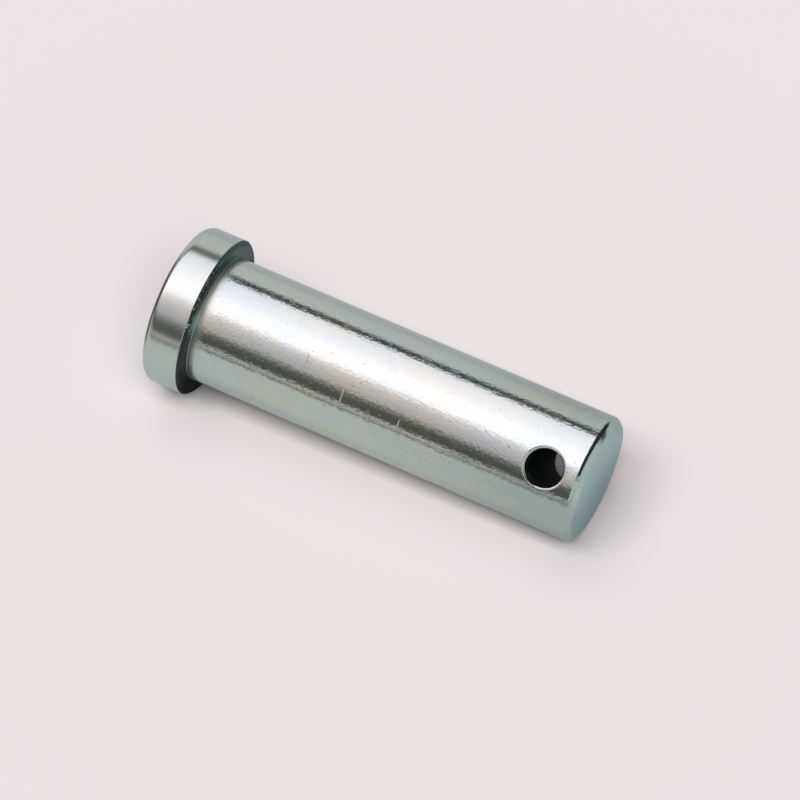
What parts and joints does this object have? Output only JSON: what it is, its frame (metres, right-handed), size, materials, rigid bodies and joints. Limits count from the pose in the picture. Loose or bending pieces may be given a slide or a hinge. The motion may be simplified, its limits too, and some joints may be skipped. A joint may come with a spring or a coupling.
{
  "type": "headed clevis pin",
  "caption": "Headed steel clevis pin with a chamfered free end and a cross hole for a split pin, zinc plated.",
  "frame": {"origin": "centre of the head's outer face, on which the pin stands", "axes": "+Z along the pin from the head to the free end, cross hole along Y"},
  "size_m": [0.0178, 0.0178, 0.0496],
  "materials": {
    "zinc_plated_steel": "bright zinc plating with a faint blue passivated tint over drawn and turned steel"
  },
  "bodies": {
    "root": {"clevis_pin": "zinc_plated_steel"}
  },
  "joints": []
}
